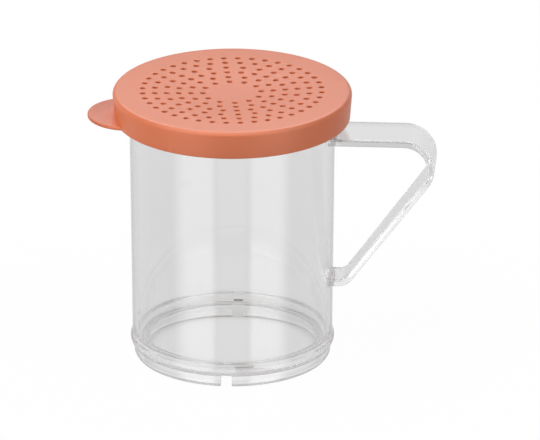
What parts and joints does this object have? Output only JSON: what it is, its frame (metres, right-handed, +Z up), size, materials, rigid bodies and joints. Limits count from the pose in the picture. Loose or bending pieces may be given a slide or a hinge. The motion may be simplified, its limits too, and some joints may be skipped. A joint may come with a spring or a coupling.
{
  "type": "shaker cup with handle and perforated lid",
  "caption": "Clear straight-walled shaker cup with a one-piece strap handle, closed by a coral perforated lid with a pull tab that snaps over its rim.",
  "frame": {"origin": "centre of the foot ring, on the plane that the cup stands on", "axes": "+Z up along the cup's axis, +X towards the handle, +Y completes the right-handed set and points away from the drain notch that the picture shows in front"},
  "size_m": [0.1214, 0.0834, 0.098],
  "materials": {
    "clear_plastic": "clear, polished polycarbonate",
    "lid_plastic": "satin coral polyethylene"
  },
  "bodies": {
    "cup": {"cup": "clear_plastic"},
    "lid": {"lid": "lid_plastic"}
  },
  "joints": [
    {"name": "lid_lift", "type": "slide", "parent": "cup", "child": "lid", "axis": [0, 0, 1], "range_m": [0, 0.03]}
  ]
}
